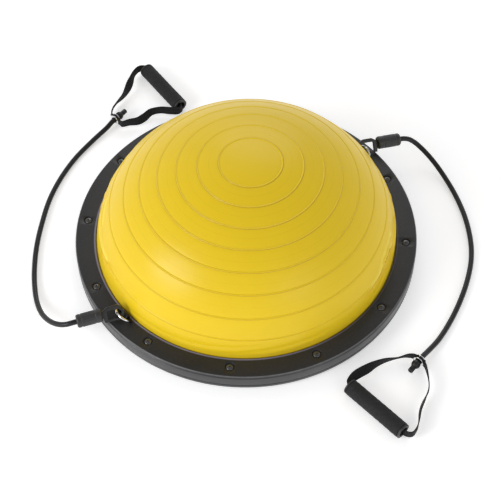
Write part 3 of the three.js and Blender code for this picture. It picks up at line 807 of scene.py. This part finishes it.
wall = round_off([
    (AXIS, 0.002), (0.060, 0.002), (0.061, 0.0026), (0.063, 0.0026), (0.064, 0.002),
    (0.198, 0.002), (0.199, 0.0026), (0.201, 0.0026), (0.202, 0.002),
    (BASE_R - 0.0004, 0.002, 0.0052), (BASE_R, 0.0095, 0.001), (BASE_R - 0.0011, 0.0103, 0.0005),
    (BASE_R - 0.0011, 0.0112, 0.0005), (BASE_R, 0.012, 0.001), (BASE_R, 0.0286, 0.0008),
    (BASE_R - 0.0021, 0.0307, 0.0004),
    (0.2669, 0.0307), (0.2669, 0.0248), (0.2603, 0.0248), (0.2603, 0.0274),
    (0.2539, 0.0274), (0.2539, 0.006), (AXIS, 0.006)], 0.0004, closed=False)
v, f = turned(wall, 240)
rim_seat = [(0.0, 0.0), (0.0163, 0.0), (0.0163, 0.003), (0.0, 0.003)]
centre_seat = [(0.0, 0.0), (0.0343, 0.0), (0.0343, 0.003), (0.0, 0.003)]
well = [(0.0, 0.0), (0.0162, 0.0), (0.0150, 0.0035), (0.0150, 0.008), (0.0, 0.008)]
cutters = [drill(rim_seat, 48, *around(PAD_CIRCLE, angle)) for angle in PAD_ANGLES]
cutters += [drill(centre_seat, 64), drill(well, 64, 0, VALVE_Y)]
for sign in (-1, 1):  # finger recesses
    half = round_off([(-0.052, -0.0095), (0.052, -0.0095), (0.052, 0.0095), (-0.052, 0.0095)], 0.004, 5)
    rows = [np.column_stack([half, np.full(len(half), z)]) for z in (0.0, 0.0165)]
    rows.append(np.column_stack([half * 0.985, np.full(len(half), 0.0190)]))
    verts = np.vstack(rows)
    n = len(half)
    faces = grid_faces(3, n) + [tuple(range(n))[::-1], tuple(2 * n + j for j in range(n))]
    cutters.append((moved(verts, 0, sign * 0.269), faces))
platform = carve(to_mesh("round_platform", v, f), cutters)
new_piece("round_platform", platform, "platform_plastic", "base", ["base_platform"])

clamp = round_off([
    (0.255, 0.031, 0.0006), (BASE_R - 0.0016, 0.031, 0.0004), (BASE_R, 0.0324, 0.0006),
    (BASE_R, RING_TOP - 0.0019, 0.001), (BASE_R - 0.0019, RING_TOP, 0.001),
    (0.255, RING_TOP, 0.0042)], 0.001, 8)
v, f = turned(clamp, 360, closed=True)
sink = [(0.0, 0.0300), (0.0028, 0.0300), (0.0028, 0.0336), (0.0072, 0.0336), (0.0076, 0.0340),
        (0.0076, 0.0352), (0.0079, 0.0357), (0.0085, 0.0361), (0.0, 0.0361)]
cutters = [drill(sink, 48, *around(SCREW_CIRCLE, angle)) for angle in SCREW_ANGLES]
ring = carve(to_mesh("clamp_rim", v, f), cutters)
new_piece("clamp_rim", ring, "ring_plastic", "base", ["clamp_ring"])


def screw_mesh():
    """Button-head screw: threaded shank, domed head and a hexagon socket."""
    seat, root, head = 0.0339, 0.0022, 0.0061
    outline = [(AXIS, seat - 0.012), (0.0016, seat - 0.012), (root, seat - 0.0108)]
    for i in range(14):
        z = seat - 0.0105 + i * 0.0007
        outline += [(root, z), (0.00195, z + 0.00035)]
    outline += [(root, seat - 0.0002), (0.0058, seat), (head, seat + 0.0003)]
    for i in range(1, 11):
        a = math.radians(9 * i)
        outline.append((head * math.cos(a) if i < 10 else 0.0003, seat + 0.0003 + 0.0027 * math.sin(a)))
    low, high = seat + 0.0014, seat + 0.004
    socket = drill([(0.0, low), (0.0014, low), (0.00145, high), (0.0, high)], 6)
    return carve(to_mesh("button_screw", *turned(outline, 48)), [socket], 34)


screw = screw_mesh()
for i, angle in enumerate(SCREW_ANGLES):
    o = bpy.data.objects.new(f"button_screw_{i + 1}", screw)
    o.rotation_euler = (0, 0, 0.7 * i)
    o.location = (*around(SCREW_CIRCLE, angle), 0)
    place(o, "black_steel", "base", [f"ring_screw_{i + 1}"])

# ---- pads and air valve ----
def pad_mesh(name, radius, grooves):
    """Flat pad 2.7 mm thick with round grooves in its sole."""
    outline = [(AXIS, 0.0)]
    for r in grooves:
        outline += [(r - 0.0008, 0.0), (r, 0.0005), (r + 0.0008, 0.0)]
    outline += [(radius - 0.0008, 0.0), (radius - 0.0002, 0.0004), (radius, 0.001), (radius, 0.0027),
                (AXIS, 0.0027)]
    return to_mesh(name, *turned(outline, 64))


data = pad_mesh("centre_pad", 0.034, (0.008, 0.014, 0.020, 0.026))
new_piece("centre_pad", data, "pad_rubber", "base", ["floor_pad_centre"])
small = pad_mesh("rim_pad", 0.016, (0.005, 0.009, 0.0125))
for i, angle in enumerate(PAD_ANGLES):
    o = bpy.data.objects.new(f"rim_pad_{i + 1}", small)
    o.location = (*around(PAD_CIRCLE, angle), 0)
    place(o, "pad_rubber", "base", [f"floor_pad_{i + 1}"])

collar = round_off([
    (0.0055, 0.0046), (0.011, 0.0046), (0.011, 0.0096, 0.0003), (0.018, 0.0096), (0.018, 0.0118),
    (0.0055, 0.013)], 0.0006, 3)
v, f = turned(collar, 64, closed=True)
data = to_mesh("valve_collar", moved(v, 0, VALVE_Y), f)
new_piece("valve_collar", data, "valve_rubber", "base", ["valve_seat"])
plug = round_off([
    (AXIS, 0.0031), (0.0040, 0.0031), (0.0046, 0.0024), (0.0094, 0.0024, 0.0006),
    (0.0094, 0.0043, 0.0004), (0.0052, 0.0043, 0.0003), (0.0052, 0.0106, 0.0003),
    (0.0038, 0.0146, 0.0006), (AXIS, 0.0146)], 0.0004, 3, closed=False)
v, f = turned(plug, 64)
data = to_mesh("valve_plug", moved(v, 0, VALVE_Y), f)
new_piece("valve_plug", data, "valve_rubber", "air_plug", ["air_plug"])

# ---- D-rings and their saddles ----
WIRE_R, D_R, D_TILT = 0.002, 0.017, math.radians(42)
for side in SIDES:
    half = [(0, 0.00015), (0, D_R * 0.7), (D_R * 0.05, D_R * 0.92)]
    bend = arc(0, 0, D_R, 74, -74, 10)
    loop = half + bend + [(x, -y) for x, y in reversed(half)]
    path, _ = catmull([(x, y, 0) for x, y in loop], 150)
    tangent = tangents(path)
    lift = np.tile([0.0, 0.0, 1.0], (len(path), 1))
    section = arc(0, 0, WIRE_R, 0, 345, 23)
    verts = swept(path, section, np.cross(lift, tangent), lift)
    faces = capped_faces(len(path), len(section))
    tilt = np.array(Matrix.Rotation(-D_TILT, 4, "Y"))
    data = weld(to_mesh("wire_ring", carried(carried(verts, tilt), ANCHOR[side]), faces), 1e-8)
    new_piece(f"wire_ring_{side}", data, "chrome_wire", f"ring_{side}", [f"d_ring_{side}"])

    low, tunnel, outer, foot_h, foot_w = -0.0023, 0.0023, 0.0038, 0.0015, 0.0034
    outline = ([(-outer, low)] + arc(0, 0, outer, 180, 0, 20)
               + [(outer, low + foot_h), (outer + foot_w, low + foot_h), (outer + foot_w, low)]
               + [(tunnel, low)] + arc(0, 0, tunnel, 0, 180, 16) + [(-tunnel, low)])
    data = plate("bar_saddle", outline, 0.014, 0.0004)
    data.transform(Matrix.Rotation(math.pi / 2, 4, "X"))
    data.transform(Matrix(ANCHOR[side]))
    smoothed(weld(data))
    new_piece(f"bar_saddle_{side}", data, "ring_plastic", "base", [f"saddle_{side}"])

# ---- snap hooks ----
EYE, BAR, SPINE, STRAIGHT, SHANK = 0.0075, 0.004, 0.0065, 0.016, 0.0055
HOOK_R, SPINE_R = EYE + BAR, EYE + SPINE
NOSE, GATE_EYE = 0.0036, 0.0024
PIVOT = (-STRAIGHT - 0.0028, -HOOK_R + 0.0027)
BARREL_START, BARREL_LENGTH = 0.024, 0.042
HOOK_THICK, GATE_THICK, PIN_HALF = 0.006, 0.003, 0.003


def hook_mesh():
    """Snap hook in its own XY plane, with a slot for the gate's hinge."""
    lug = PIVOT[0] - GATE_EYE - 0.0008
    outline = ([(-STRAIGHT, -HOOK_R), (-STRAIGHT, EYE - 0.0025)]
               + arc(-STRAIGHT + 0.0025, EYE - 0.0025, 0.0025, 170, 90, 5)
               + arc(0, 0, EYE, 90, -90, 28)
               + [(-NOSE, -EYE), (-NOSE, -HOOK_R + 0.001), (-NOSE + 0.001, -HOOK_R)]
               + arc(0, 0, HOOK_R, -90, 0, 16)
               + [(x, y * SPINE_R / HOOK_R) for x, y in arc(0, 0, HOOK_R, 6, 90, 16)]
               + [(-STRAIGHT + 0.002, SPINE_R), (-BARREL_START + 0.002, RAISE + SHANK)]
               + [(-BARREL_START - 0.007, RAISE + SHANK), (-BARREL_START - 0.007, RAISE - SHANK)]
               + [(-BARREL_START + 0.0006, RAISE - SHANK), (lug, -HOOK_R)])
    data = plate("snap_hook", outline, HOOK_THICK, 0.001)
    top = PIVOT[1] + GATE_EYE + 0.0007
    low_x = PIVOT[0] - GATE_EYE - 0.0003
    xs, ys, zs = (low_x, low_x + 0.014), (top - 0.012, top), (-0.0018, 0.0018)
    box = [(x, y, z) for x in xs for y in ys for z in zs]
    box_faces = [(0, 1, 3, 2), (4, 6, 7, 5), (0, 4, 5, 1), (2, 3, 7, 6), (0, 2, 6, 4), (1, 5, 7, 3)]
    return carve(data, [(np.array(box), box_faces)], 30)


def gate_mesh():
    """Flat sprung gate from its hinge to the nose."""
    tip = -NOSE - 0.0003 - PIVOT[0]
    low, high = -HOOK_R + 0.0003 - PIVOT[1], -EYE - 0.0003 - PIVOT[1]
    outline = arc(0, 0, GATE_EYE, 60, 270, 20) + [(tip, low), (tip, high), (GATE_EYE, high)]
    data = plate("hook_gate", outline, GATE_THICK, 0.0005)
    data.transform(Matrix.Translation((*PIVOT, 0)))
    return smoothed(weld(data), 34)


def barrel_mesh():
    """Ribbed sleeve; heights run along the hook's X, its hook end at -24 mm."""
    near, far = -BARREL_START, -BARREL_START - BARREL_LENGTH
    wide, narrow = 0.00656, TUBE_R + 0.0003
    outer = [
        (narrow, far, 0.0004), (0.0096, far, 0.0016), (0.0111, far + 0.0024, 0.001),
        (0.0111, far + 0.0062, 0.0006), (0.0106, far + 0.0070, 0.0004),
        (0.0106, far + 0.0080, 0.0004), (0.0112, far + 0.0090, 0.0006),
        (0.0112, near - 0.0120, 0.0006), (0.0107, near - 0.0112, 0.0004),
        (0.0107, near - 0.0104, 0.0004),
        (0.0112, near - 0.0096, 0.0006), (0.0112, near - 0.0020, 0.0012), (0.0097, near, 0.0012),
        (wide, near, 0.0004), (wide, near - 0.026, 0.0002), (narrow, near - 0.026, 0.0002)]
    outline = round_off(outer, 0.0005, 4)
    dense = []
    for p, q in zip(outline, np.roll(outline, -1, axis=0)):
        parts = max(1, int(np.linalg.norm(q - p) / 0.004))
        dense += [p] + [p + (q - p) * k / parts for k in range(1, parts)]
    verts, faces = turned(dense, 120, closed=True)
    radius = np.hypot(verts[:, 0], verts[:, 1])
    angle = np.arctan2(verts[:, 1], verts[:, 0])
    ribbed = (radius > 0.0109) & (verts[:, 2] > far + 0.0085) & (verts[:, 2] < near - 0.0118)
    groove = np.where(ribbed, 0.00035 * np.clip(np.cos(20 * angle), -0.2, 1), 0)
    verts[:, :2] *= (1 - groove / np.maximum(radius, 1e-6))[:, None]
    return to_mesh("barrel_sleeve", moved(along_x(verts), 0, RAISE), faces, sharp=40)


hook_data, gate_data, barrel_data = hook_mesh(), gate_mesh(), barrel_mesh()
pin = round_off([(AXIS, -PIN_HALF), (0.0012, -PIN_HALF), (0.0012, PIN_HALF), (AXIS, PIN_HALF)],
                0.0003, 3, closed=False)
pin_v, pin_f = turned(pin, 32)
for side in SIDES:
    clip = Matrix(CLIP[side])
    for name, data, slot, body, node in (
            ("snap_hook", hook_data, "hook_plastic", f"band_{side}", f"hook_{side}"),
            ("hook_gate", gate_data, "hook_plastic", f"gate_{side}", f"gate_{side}"),
            ("barrel_sleeve", barrel_data, "barrel_plastic", f"band_{side}", f"barrel_{side}")):
        own = data.copy()
        own.transform(clip)
        new_piece(f"{name}_{side}", own, slot, body, [node])
    data = to_mesh("hinge_pin", carried(moved(pin_v, *PIVOT), CLIP[side]), pin_f)
    new_piece(f"hinge_pin_{side}", data, "black_steel", f"band_{side}", [f"gate_pin_{side}"])
    wide = 0.0062
    cone = round_off([(AXIS, -0.0517), (TUBE_R, -0.0517), (TUBE_R, -0.0497), (wide, -0.046),
                      (wide, -0.036), (0.0035, -0.0316), (AXIS, -0.0316)], 0.0008, 4, closed=False)
    v, f = turned(cone, 48)
    data = to_mesh("tube_wedge", carried(moved(along_x(v), 0, RAISE), CLIP[side]), f)
    new_piece(f"tube_wedge_{side}", data, "band_rubber", f"band_{side}", [f"tube_plug_{side}"])

# ---- stopper balls and strap eyelets ----
BALL_R, BALL_X, STUB_END = 0.0074, 0.0110, 0.0274
EYELET_BORE, EYELET_R = 0.0059, 0.0094
for side in SIDES:
    lean = math.degrees(math.asin(TUBE_R / BALL_R))
    outline = [(AXIS, 0.0052)] + arc(0, BALL_X, BALL_R, lean - 90, 90 - lean, 27)
    outline += [(TUBE_R, 0.0190), (TUBE_R, STUB_END - 0.0006), (TUBE_R - 0.0005, STUB_END),
                (0.0026, STUB_END), (0.0022, STUB_END - 0.0004), (0.0022, STUB_END - 0.005),
                (AXIS, STUB_END - 0.0052)]
    v, f = turned(outline, 48)
    data = to_mesh("stopper_ball", carried(along_x(v), KNOT[side]), f, sharp=50)
    new_piece(f"stopper_ball_{side}", data, "band_rubber", f"band_{side}", [f"stopper_{side}"])
    back, front = -0.0022, 0.0041
    rim = round_off([
        (EYELET_BORE, back - 0.0007), (0.0092, back - 0.0007), (EYELET_R, back),
        (EYELET_R, back + 0.0007), (0.0064, back + 0.0007), (0.0064, front - 0.0006),
        (EYELET_R, front - 0.0006), (EYELET_R, front), (0.0091, front + 0.0005),
        (EYELET_BORE, front + 0.0005)], 0.0003, 3)
    v, f = turned(rim, 64, closed=True)
    data = to_mesh("eyelet", carried(along_x(v), KNOT[side]), f)
    new_piece(f"strap_eyelet_{side}", data, "chrome_wire", f"handle_{side}", [f"strap_washer_{side}"])

# ---- webbing straps ----
STRAP_W, STRAP_T, SELVEDGE = 0.016, 0.0018, 0.0016
LAYER = 0.0021  # from one tape end to the other, under the eyelet
LAP = 0.0104  # straight run of tape each side of the eyelet
HANDLE_Z = 0.0137
HALF = 0.058  # half a grip's length
ARMS = {
    "left": {
        "first": "far",
        "near": [(-0.224, 0.268), (-0.211, 0.272), (-0.195, 0.275), (-0.183, 0.284), (-0.172, 0.296),
                 (-0.155, 0.301), (-0.136, 0.299), (-0.121, 0.299)],
        "far": [(-0.243, 0.304), (-0.236, 0.321), (-0.226, 0.336), (-0.219, 0.352), (-0.212, 0.375),
                (-0.206, 0.396), (-0.197, 0.407)],
        # share of the strap's length, spread, twist in degrees
        "twists": [(0.12, 0.05, -22), (0.24, 0.05, 34), (0.71, 0.05, -14), (0.84, 0.05, -30)],
    },
    "right": {
        "first": "near",
        "near": [(0.286, -0.272), (0.287, -0.288), (0.285, -0.305), (0.277, -0.322), (0.269, -0.342),
                 (0.265, -0.361), (0.260, -0.375), (0.252, -0.384)],
        "far": [(0.256, -0.241), (0.240, -0.245), (0.221, -0.249), (0.206, -0.255), (0.189, -0.265),
                (0.174, -0.274), (0.162, -0.284)],
        "twists": [(0.12, 0.05, -8), (0.22, 0.05, 16), (0.74, 0.055, 56), (0.89, 0.045, -24)],
    },
}


def strap_section():
    """Closed outline of the tape, with thick rounded selvedges."""
    half, t = STRAP_W / 2, STRAP_T / 2
    top = [(x, t * (1.0 if abs(x) > half - SELVEDGE else 0.86))
           for x in np.linspace(-half + 0.0006, half - 0.0006, 22)]
    return (top + [(half, t * 0.4), (half, -t * 0.4)]
            + [(x, -y) for x, y in reversed(top)] + [(-half, -t * 0.4), (-half, t * 0.4)])


for side in SIDES:
    spec = ARMS[side]
    sign = 1 if spec["first"] == "near" else -1
    second = "far" if spec["first"] == "near" else "near"
    grip_x = GRIP[side][:3, 0]
    inside = [GRIP[side][:3, 3] + grip_x * sign * r for r in (
        HALF + 0.0035, HALF - 0.002, HALF / 2, 0, -HALF / 2, -HALF + 0.002, -HALF - 0.0035)]
    points = [*carried([(LAYER, y, 0) for y in (-LAP, 0, LAP)], KNOT[side])]
    points += [(x, y, HANDLE_Z) for x, y in spec[spec["first"]]] + inside
    points += [(x, y, HANDLE_Z) for x, y in reversed(spec[second])]
    points += [*carried([(0, y, 0) for y in (-LAP, 0, LAP)], KNOT[side])]
    path, length = catmull(points, 460)
    tangent = tangents(path)
    share = np.linspace(0, 1, len(path))
    angle = sum(math.radians(a) * np.exp(-((share - at) / w) ** 2) for at, w, a in spec["twists"])
    level = unit(np.cross([0, 0, 1], tangent))
    upward = np.cross(tangent, level)
    lift = upward * np.cos(angle)[:, None] + level * np.sin(angle)[:, None]
    section = strap_section()
    verts = swept(path, section, lift, np.cross(lift, tangent))
    across = [x for x, _ in section]
    uv = np.stack([np.repeat(share * length, len(section)), np.tile(across, len(path))], 1)
    faces = capped_faces(len(path), len(section))
    data = to_mesh("webbing_strap", verts, faces, uv=uv, sharp=60)
    new_piece(f"webbing_strap_{side}", data, "webbing", f"handle_{side}", [f"strap_{side}"])

# ---- foam grips ----
FOAM_R, CORE_R, BORE = 0.0135, 0.0097, 0.0086
CAP, GAP, SHOULDER = 0.0026, 0.0003, 0.0020
INNER = HALF - CAP - GAP
for side in SIDES:
    core = round_off([(BORE, -INNER), (CORE_R, -INNER), (CORE_R, INNER), (BORE, INNER)], 0.0003, 3)
    v, f = turned(core, 64, closed=True)
    data = to_mesh("core_tube", carried(along_x(v), GRIP[side]), f)
    new_piece(f"core_tube_{side}", data, "grip_plastic", f"grip_{side}", [f"grip_core_{side}"])

    lengthwise = np.linspace(-INNER + 0.0022, INNER - 0.0022, 60)
    outer = [(FOAM_R - 0.00025 * (1 + math.sin(31 * x / INNER)) * 0.5, x) for x in lengthwise]
    ends = [(FOAM_R - SHOULDER, INNER - 0.0001), (CORE_R + GAP, INNER)]
    start = [(CORE_R + GAP, -INNER), (FOAM_R - SHOULDER, -INNER + 0.0001)]
    shoulder = [(FOAM_R - SHOULDER + SHOULDER * math.sin(a), -INNER + 0.0022 - 0.0021 * math.cos(a))
                for a in np.radians((20, 40, 60, 80))]
    outline = start + shoulder + outer + [(r, -x) for r, x in reversed(shoulder)] + ends
    v, f = turned(outline, 96, closed=True)
    rng = np.random.default_rng(5 if side == "left" else 6)
    angle = np.arctan2(v[:, 1], v[:, 0])
    soft = sum(rng.uniform(0.3, 1) * np.sin(k * angle + rng.uniform(0, 6) + v[:, 2] * rng.uniform(40, 180))
               for k in (1, 2, 3, 5))
    radius = np.hypot(v[:, 0], v[:, 1])
    dent = np.where(radius > FOAM_R - 0.001, 0.00010 * (1 + soft / 2.5), 0)
    v[:, :2] *= (1 - dent / radius)[:, None]
    data = to_mesh("foam_sleeve", carried(along_x(v), GRIP[side]), f, sharp=60)
    new_piece(f"foam_sleeve_{side}", data, "grip_foam", f"grip_{side}", [f"foam_grip_{side}"])

    for end, sign in (("far", -1), ("near", 1)):
        cap = round_off([
            (BORE, INNER + GAP, 0.0002), (0.0131, INNER + GAP, 0.0002), (0.0131, HALF - 0.0004, 0.0009),
            (0.0116, HALF, 0.0006), (0.0095, HALF, 0.0005), (0.0090, HALF - 0.0006, 0.0003),
            (BORE, HALF - 0.0006, 0.0003)], 0.0003, 4)
        v, f = turned(cap, 72, closed=True)
        v = along_x(v)
        if sign < 0:
            v = v * [-1, -1, 1]
        data = to_mesh("end_cap", carried(v, GRIP[side]), f)
        new_piece(f"end_cap_{end}_{side}", data, "grip_plastic", f"grip_{side}", [f"grip_cap_{end}_{side}"])

# ---- stage and light ----
floor = bpy.data.meshes.new("floor")
FLOOR_HALF, FLOOR_Z = 14, -0.0004
corners = [(x * FLOOR_HALF, y * FLOOR_HALF, FLOOR_Z) for x, y in ((-1, -1), (1, -1), (1, 1), (-1, 1))]
floor.from_pydata(corners, [], [(0, 1, 2, 3)])
floor.materials.append(Nodes("floor_paper").done(
    Base_Color=(0.88, 0.88, 0.88, 1), Roughness=0.9, Specular_IOR_Level=0.1,
    Emission_Color=(1, 1, 1, 1), Emission_Strength=0.42))
ground = bpy.data.objects.new("floor", floor)
OBJECTS.link(ground)

# a white horizon that falls to grey overhead
world = bpy.data.worlds.new("studio")
world.use_nodes = True
bpy.context.scene.world = world
sky = world.node_tree
position = sky.nodes.new("ShaderNodeTexCoord")
split = sky.nodes.new("ShaderNodeSeparateXYZ")
ramp = sky.nodes.new("ShaderNodeValToRGB")
stops = ((0.05, (1, 1, 1, 1)), (0.9, (0.34, 0.34, 0.35, 1)))
for element, (at, colour) in zip(ramp.color_ramp.elements, stops):
    element.position, element.color = at, colour
sky.links.new(position.outputs["Generated"], split.inputs[0])
sky.links.new(split.outputs[2], ramp.inputs["Fac"])
sky.links.new(ramp.outputs["Color"], sky.nodes["Background"].inputs["Color"])
sky.nodes["Background"].inputs["Strength"].default_value = 1.0


def lamp(name, at, toward, size, power):
    data = bpy.data.lights.new(name, "AREA")
    data.shape = "DISK"
    data.size = size
    data.energy = power
    o = bpy.data.objects.new(name, data)
    o.location = at
    o.rotation_euler = (Vector(toward) - Vector(at)).to_track_quat("-Z", "Y").to_euler()
    OBJECTS.link(o)


lamp("key", (-2.3, -1.25, 1.4), (0, 0, 0.1), 1.4, 36)
lamp("fill", (1.6, -2.2, 1.5), (0, 0, 0.1), 1.6, 8)
lamp("back", (0.2, 2.4, 1.8), (0, 0, 0.15), 1.8, 14)

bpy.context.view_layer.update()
